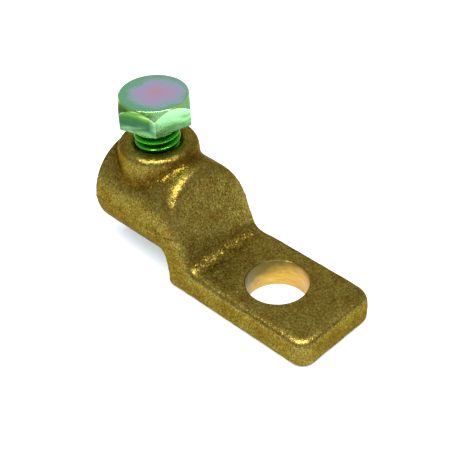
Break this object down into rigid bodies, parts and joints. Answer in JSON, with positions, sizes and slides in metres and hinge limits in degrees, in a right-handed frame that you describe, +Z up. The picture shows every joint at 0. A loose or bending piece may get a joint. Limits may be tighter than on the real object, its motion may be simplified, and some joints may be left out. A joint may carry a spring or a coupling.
{
  "type": "ground clamp",
  "caption": "Cast brass screw-clamp lug for a welding earth lead: round cable socket, hex-head clamping screw in a boss, and a flat tongue with a stud hole.",
  "frame": {"origin": "centre of the stud hole, in the plane of the tongue's flat underside", "axes": "+X from the cable mouth towards the tongue's tip, +Z up along the stud hole and the clamping screw"},
  "size_m": [0.0587, 0.0214, 0.037],
  "materials": {
    "lug_body": "sand-cast, grainy satin",
    "clamp_screw": "zinc plated with iridescent green passivation"
  },
  "bodies": {
    "lug_body": {"lug_body": "lug_body"},
    "clamp_screw": {"clamp_screw": "clamp_screw"}
  },
  "joints": [
    {"name": "screw_travel", "type": "slide", "parent": "lug_body", "child": "clamp_screw", "axis": [0, 0, 1], "range_m": [-0.00535, 0.0085]}
  ]
}
